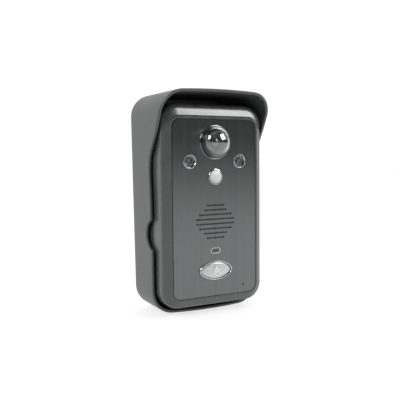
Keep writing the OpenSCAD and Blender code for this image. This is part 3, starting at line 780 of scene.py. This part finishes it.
# %% Bell on the call button
half_bell = [(0.0, 3.35), (0.42, 3.2), (0.55, 2.85), (1.15, 2.45), (1.62, 1.85), (1.85, 1.0), (1.95, -0.2),
             (2.15, -1.2), (2.6, -1.85), (2.9, -2.3), (0.85, -2.35), (0.75, -2.9), (0.35, -3.25), (0.0, -3.3)]
BELL_STEPS = ((1.0, 0.35), (1.0, -0.12), (0.93, -0.2), (0.8, -0.2), (0.74, -0.12), (0.6, -0.02))

whole_bell = half_bell + [(-x, z) for x, z in reversed(half_bell[1:-1])]
bell_rings = []
for scale, drop in BELL_STEPS:
    bell_rings.append(crowned([(x * scale, BUTTON_Z + z * scale) for x, z in whole_bell], drop))
bell = skin("bell_mark_raised", bell_rings)
stand_in(bell, "call_button", "bell_mark", "bell_inlay")

# %% [markdown]
# ## Finishes
# One small function adds a node with its settings and its links, and one makes a finish from a shader
# whose even values sit on its own sockets. Colours are written as hex values, as a paint card gives
# them, and turned to linear light in one place.

# %% Colour and node helpers
def linear(code):
    """A hex colour as linear RGBA."""
    parts = [int(code[i:i + 2], 16) / 255 for i in (1, 3, 5)]
    return [p / 12.92 if p <= 0.04045 else ((p + 0.055) / 1.055) ** 2.4 for p in parts] + [1.0]


def add(owner, kind, values=(), sources=(), **settings):
    """Adds one node to a finish or to the world. `values` are its sockets' own values, `sources` the
    node and output each is fed by."""
    node = owner.node_tree.nodes.new("ShaderNode" + kind)
    for name, value in settings.items():
        setattr(node, name, value)
    for name, value in dict(values).items():
        node.inputs[name].default_value = value
    for name, (source, output) in dict(sources).items():
        owner.node_tree.links.new(source.outputs[output], node.inputs[name])
    return node


def set_ramp(ramp, *ends):
    """Set the two ends of a colour ramp, each a position and a colour."""
    for element, (position, colour) in zip(ramp.color_ramp.elements, ends):
        element.position, element.color = position, colour


print("mid grey in linear light", [round(c, 3) for c in linear("#808080")])

# %% [markdown]
# Every surface here has two scales of unevenness: a fine grain from its mould, brush or plating, and a
# wide, faint mottling. Together they steer the colour and the gloss, and the grain alone the relief.

# %% A finish with a grain
def grained(name, dark, light, grain, roughness, relief,
            stretch=(1, 1, 1), spread=0.08, mottle=9.0, sockets=()):
    """A finish between two colours. Grain, relief and mottle are in millimetres, `spread` is how far the
    roughness swings each way and `sockets` are even values for the shader."""
    finish = bpy.data.materials.new(name)
    finish.use_nodes = True
    shader = finish.node_tree.nodes["Principled BSDF"]
    for socket, value in dict(sockets).items():
        shader.inputs[socket].default_value = value
    place = add(finish, "TexCoord")
    scaled = add(finish, "Mapping", {"Scale": stretch}, {"Vector": (place, "Object")})
    there = {"Vector": (scaled, "Vector")}
    fine = add(finish, "TexNoise", {"Scale": 1 / (grain * MM), "Detail": 3.0, "Roughness": 0.6}, there)
    wide = add(finish, "TexNoise", {"Scale": 1 / (mottle * MM), "Detail": 2.0}, there)
    both = add(finish, "Mix", {"Factor": 0.45}, {"A": (fine, "Fac"), "B": (wide, "Fac")})
    # Noise keeps to the middle of its range, so the colours and the gloss are spread over that part.
    tones = add(finish, "ValToRGB", sources={"Fac": (both, "Result")})
    set_ramp(tones, (0.35, linear(dark)), (0.65, linear(light)))
    swing = {"From Min": 0.3, "From Max": 0.7, "To Min": roughness - spread, "To Max": roughness + spread}
    gloss = add(finish, "MapRange", swing, {"Value": (both, "Result")})
    bump = add(finish, "Bump", {"Strength": 1.0, "Distance": relief * MM}, {"Height": (fine, "Fac")})
    links = finish.node_tree.links
    links.new(tones.outputs["Color"], shader.inputs["Base Color"])
    links.new(gloss.outputs["Result"], shader.inputs["Roughness"])
    links.new(bump.outputs["Normal"], shader.inputs["Normal"])
    return finish


# Even values that several finishes share.
METAL = {"Metallic": 1.0}


def clear(ior, weight=1.0):
    """A see-through plastic or glass."""
    return {"Transmission Weight": weight, "IOR": ior}


def milky_plastic(ior, weight):
    """A plastic that light sinks into by about a millimetre."""
    return {"IOR": ior, "Subsurface Weight": weight, "Subsurface Radius": (1, 1, 1), "Subsurface Scale": MM}


# %% [markdown]
# ### Shell plastics and faceplate
# The hood and casing are black-grey ABS from a spark-eroded mould. The hood's coarser texture is matt
# and spreads the light; the casing's finer one leaves a soft gloss on its brow. The faceplate is
# aluminium brushed top to bottom and anodised gunmetal: its scratches are a few hundredths of a
# millimetre wide and centimetres long, drawn here four times as wide so that they show. They also
# stretch what the plate mirrors sideways, which is what its strong anisotropy stands for.

# %% Shell plastics and faceplate
finishes = {}
finishes["hood_plastic"] = grained("spark_textured_abs_hood", "#3b3c3d", "#444545", 0.35, 0.42, 0.012,
                                   sockets={"IOR": 1.53})
finishes["case_plastic"] = grained("spark_textured_abs_casing", "#343535", "#3c3d3d", 0.3, 0.27, 0.006,
                                   spread=0.05, sockets={"IOR": 1.64})
finishes["plate_metal"] = grained("brushed_anodised_aluminium", "#666768", "#6f7070", 0.2, 0.3, 0.002,
                                  stretch=(1, 1, 0.012), spread=0.05, mottle=2.2,
                                  sockets={"Metallic": 1.0, "Anisotropic": 0.9})
print(list(finishes))

# %% [markdown]
# ### Bright trim and button
# Chromed ABS has a faint orange peel under a mirror finish. The dome's ring takes a darker copy of the same
# chrome, which is painted shade, and the cups behind the lamps are silvered, which is paler and softer.
# The button is satin plated, a finer grain that blurs what it reflects, and its bell is polished, so it
# stands out from the cap by its gloss.

# %% Bright trim and button
finishes["bright_trim"] = grained("chrome_plated_abs", "#adafb0", "#bdbfc0", 1.2, 0.14, 0.001,
                                  spread=0.03, sockets=METAL)
# A darker copy of the same chrome: painted shade on the dome's ring.
finishes["dome_trim"] = grained("chrome_ring_painted_shade", "#696b6d", "#787a7c", 1.2, 0.16, 0.001,
                                spread=0.03, sockets=METAL)
finishes["reflector"] = grained("silvered_lamp_reflector", "#ccd0d2", "#dde0e1", 0.6, 0.3, 0.002,
                                spread=0.05, sockets={"Metallic": 0.7})
finishes["button_metal"] = grained("satin_plated_cap", "#b4b5b5", "#c1c2c2", 0.12, 0.36, 0.003,
                                   spread=0.05, sockets={"Metallic": 0.85})
finishes["bell_mark"] = grained("polished_plated_bell", "#c4c5c4", "#d2d3d1", 0.4, 0.26, 0.001,
                                spread=0.04, sockets={"Metallic": 0.9})

# %% [markdown]
# ### Clear and smoked pieces
# Clear polycarbonate is glass-like with a typical index of 1.58, and the dome's hard coat adds a second,
# sharper reflection. The status window is acrylic dyed dark grey. The camera's lens looks dark blue
# from its coating, and the lamps are cast in clear epoxy.

# %% Clear and smoked pieces
dome_sockets = clear(1.58) | {"Coat Weight": 1.0, "Coat IOR": 1.6, "Coat Roughness": 0.02}
finishes["clear_dome"] = grained("clear_polycarbonate_dome", "#f4f6f7", "#fdfdfd", 3.0, 0.02, 0.0004,
                                 spread=0.01, sockets=dome_sockets)
finishes["clear_window"] = grained("clear_polycarbonate_cover", "#e6e9ea", "#f2f4f4", 2.0, 0.06, 0.001,
                                   spread=0.02, sockets=clear(1.58))
finishes["smoked_window"] = grained("smoked_acrylic", "#37393a", "#434546", 1.0, 0.2, 0.001,
                                    spread=0.04, sockets={"IOR": 1.49})
finishes["lens_glass"] = grained("coated_lens_glass", "#0d1016", "#1a1f2b", 2.5, 0.05, 0.0002,
                                 spread=0.02, sockets={"IOR": 1.6, "Coat Weight": 0.6})
finishes["led_epoxy"] = grained("clear_epoxy_lamp", "#dfe6ee", "#f2f6fa", 1.5, 0.05, 0.0005,
                                spread=0.02, sockets=clear(1.5, 0.85))

# %% [markdown]
# ### Milky pieces
# The light pipe and the motion lens are plastics that light sinks into, so their edges glow a little.
# The lens is polyethylene, which heat passes through, and small facets are pressed into it.

# %% Milky pieces
finishes["light_pipe"] = grained("milky_light_pipe", "#c4c5c4", "#d0d1d0", 0.6, 0.3, 0.002,
                                 sockets=milky_plastic(1.49, 0.2))
finishes["fresnel_white"] = grained("milky_polyethylene_lens", "#b4b4b3", "#c6c6c5", 0.5, 0.42, 0.003,
                                    sockets=milky_plastic(1.51, 0.3))


def press_facets(finish, facet, relief):
    """Press small facets into a finish, as cells with raised rims. Both sizes are in millimetres."""
    shader = finish.node_tree.nodes["Principled BSDF"]
    place = {"Vector": (add(finish, "TexCoord"), "Object")}
    cells = add(finish, "TexVoronoi", {"Scale": 1 / (facet * MM)}, place, feature="F1")
    bump = add(finish, "Bump", {"Strength": 0.9, "Distance": relief * MM}, {"Height": (cells, "Distance")})
    finish.node_tree.links.new(bump.outputs["Normal"], shader.inputs["Normal"])


press_facets(finishes["fresnel_white"], 1.1, 0.25)

# %% [markdown]
# ### Everything inside
# The boards, screws, rubber and wiring hardly show, but each still gets the finish it is made with, so
# the model holds up when the casing is taken off. Moulded plastics are dull with a fine grain, rubber
# and felt-like parts are matt, films and sleeves have a soft gloss, and metals are told by their tint.

# %% Inner finishes
inner = [
    # Black mouldings and rubber, which swallow stray light.
    ("black_plastic", "moulded_black_nylon", "#161617", "#1f1f21", 0.25, 0.5, 0.006, {"IOR": 1.53}),
    ("rubber_black", "moulded_epdm_rubber", "#1a1a1b", "#232324", 0.2, 0.75, 0.006, {"IOR": 1.52}),
    # Boards and what is soldered to them: glossy green mask, dull packages, bright tin.
    ("board_green", "solder_masked_glass_epoxy", "#12402a", "#1d5a3a", 0.8, 0.3, 0.004, {"IOR": 1.55}),
    ("chip_black", "moulded_epoxy_package", "#191a1b", "#242526", 0.15, 0.55, 0.004, {"IOR": 1.55}),
    ("sensor_silicon", "sensor_package", "#14151a", "#23252e", 0.3, 0.2, 0.001, {"IOR": 1.6}),
    ("shield_metal", "tinned_spring_steel", "#a7a9ab", "#bcbec0", 0.5, 0.3, 0.002, METAL),
    ("flex_film", "polyimide_film", "#8a5418", "#a86a24", 0.7, 0.3, 0.001, {"IOR": 1.7}),
    # Metal parts, from turned and pressed to plated.
    ("screw_steel", "turned_stainless_steel", "#8f9092", "#a9aaab", 0.15, 0.32, 0.002, METAL),
    ("basket_steel", "pressed_zinc_plated_steel", "#7c7e80", "#949698", 0.6, 0.35, 0.003, METAL),
    ("magnet_dark", "nickel_plated_magnet", "#6d6e70", "#7e7f81", 0.4, 0.25, 0.001, METAL),
    ("brass_strip", "stamped_brass", "#a8843a", "#bf9a4c", 0.3, 0.3, 0.002, METAL),
    # Tape, cloth and paper, which are matt and show their fibres.
    ("adhesive_tape", "acrylic_foam_tape", "#c9c5b8", "#d8d4c8", 0.4, 0.7, 0.01, {"IOR": 1.47}),
    ("mesh_cloth", "woven_acoustic_cloth", "#0d0d0e", "#1c1c1d", 0.2, 0.85, 0.03, {"IOR": 1.5}),
    ("paper_cone", "coated_paper_pulp", "#2e2620", "#3d332b", 0.35, 0.75, 0.02, {"IOR": 1.5}),
    # Coloured plastics of the battery, its plug, the terminals and the switches.
    ("battery_sleeve", "pvc_shrink_sleeve", "#1f3a70", "#2a4b8c", 1.5, 0.3, 0.006, {"IOR": 1.53}),
    ("plug_white", "moulded_white_nylon", "#d4cfc0", "#e2ddd0", 0.3, 0.45, 0.004, {"IOR": 1.53}),
    ("terminal_green", "moulded_green_nylon", "#145a30", "#1c6f3d", 0.3, 0.42, 0.005, {"IOR": 1.53}),
    ("red_plastic", "red_polycarbonate", "#8f1f1f", "#a82a2a", 0.4, 0.25, 0.002, {"IOR": 1.58}),
    ("slider_white", "moulded_acetal", "#c6c6c4", "#d6d6d4", 0.25, 0.4, 0.003, {"IOR": 1.48}),
]
for slot, name, dark, light, grain, roughness, relief, sockets in inner:
    finishes[slot] = grained(name, dark, light, grain, roughness, relief, sockets=sockets)
print(len(finishes), "finishes")

# %% [markdown]
# ### Put the finishes on
# Each imported piece and each new piece names a slot, and gets the finish of that slot. The imported record
# has one slot for all bright trim, so the silvered cups, which are made in another way, take their own finish
# afterwards, and the dome's ring takes a darker copy of the chrome, which is painted shade.

# %% Give every piece its finish
def put_on(piece, slot):
    """Give a piece the finish of a slot, and nothing else."""
    piece.data.materials.clear()
    piece.data.materials.append(finishes[slot])


slot_of = {part["node"]: part["material_slot"] for part in frame["record"]["subparts"]}
for name, node in frame["nodes"].items():
    put_on(node, slot_of[name])
new_pieces = [piece for piece in bpy.data.objects if piece.type == "MESH" and piece.get("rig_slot")]
for piece in new_pieces:
    put_on(piece, piece["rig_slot"])
lamp_cups.data.materials[0] = finishes["reflector"]
# The dome's ring takes the darker copy of the chrome, which is painted shade.
dome_ring.data.materials[0] = finishes["dome_trim"]
print(len(slot_of), "packed pieces and", len(new_pieces), "new pieces have their finish")

# %% [markdown]
# ## Floor
# The panel stands on a light table: a plain pale sheet of opal acrylic that is lit from below, so it
# stays nearly white and the panel throws only a weak shadow. Its own glow is an even value on the
# shader, and its colour is a mid grey so that the lamps above don't make it brighter than white.

# %% Floor
FLOOR_SIZE, FLOOR_GLOW = 12.0, 0.72
bpy.ops.object.select_all(action="DESELECT")
bpy.ops.mesh.primitive_plane_add(size=1.0, location=(0, 0, HOOD_BOT * MM))
floor = bpy.context.active_object
floor.name = "studio_floor"
floor.scale = (FLOOR_SIZE, FLOOR_SIZE, 1.0)
bpy.ops.object.transform_apply(location=True, rotation=True, scale=True)
glow = {"Emission Color": (1.0, 1.0, 1.0, 1.0), "Emission Strength": FLOOR_GLOW}
table_top = grained("opal_acrylic_light_table", "#7f7f7f", "#838383", 4.0, 0.6, 0.0,
                    mottle=60.0, sockets=glow)
floor.data.materials.append(table_top)
print("floor at", round(HOOD_BOT, 1), "mm")

# %% [markdown]
# ## Studio light
# Two softboxes give the soft light: a narrow one from the far left lights the hood's side, and a wide
# one from the right front lights the dome, the rings and the brow. All sizes are in metres.

# %% Studio light
def softbox(name, place, aim, width, height, energy):
    """A rectangular softbox that faces a point, with its energy in watts."""
    light = bpy.data.lights.new(name, "AREA")
    light.shape, light.energy = "RECTANGLE", energy
    light.size, light.size_y = width, height
    holder = bpy.data.objects.new(name, light)
    bpy.context.scene.collection.objects.link(holder)
    holder.location = place
    holder.rotation_mode = "QUATERNION"
    holder.rotation_quaternion = (Vector(aim) - Vector(place)).to_track_quat("-Z", "Y")


softbox("left_softbox", (-0.84, -0.20, 0.62), aim=(0, -0.03, 0.02), width=0.2, height=0.42, energy=8.0)
softbox("right_softbox", (0.58, -0.66, 0.60), aim=(0, -0.04, 0.04), width=0.5, height=0.6, energy=10.5)
print(len(bpy.data.lights), "softboxes")

# %% [markdown]
# ## Air of the studio
# The room behind the panel is bright and the half in front of it is dim, as in a product studio with a
# white wall, so the dome and the plate have something to reflect. One ramp from front to back makes it.

# %% Air of the studio
# Light of the dim half, where it ends and where full light starts, from 0 at the front to 1 behind.
DIM, DIM_END, BRIGHT_START = 0.13, 0.36, 0.56
AIR_STRENGTH = 1.05
world = bpy.data.worlds.new("studio_air")
bpy.context.scene.world = world
world.use_nodes = True
way = add(world, "TexCoord")
axes = add(world, "SeparateXYZ", sources={"Vector": (way, "Generated")})
front_to_back = add(world, "MapRange", {"From Min": -1.0}, {"Value": (axes, "Y")})
ramp = add(world, "ValToRGB", sources={"Fac": (front_to_back, "Result")})
set_ramp(ramp, (DIM_END, (DIM, DIM, DIM, 1)), (BRIGHT_START, (1.0, 1.0, 1.0, 1)))
backdrop = world.node_tree.nodes["Background"]
world.node_tree.links.new(ramp.outputs["Color"], backdrop.inputs["Color"])
backdrop.inputs["Strength"].default_value = AIR_STRENGTH
bpy.context.scene.view_settings.view_transform = "Standard"
print("front of the room at", DIM, "of the light behind")
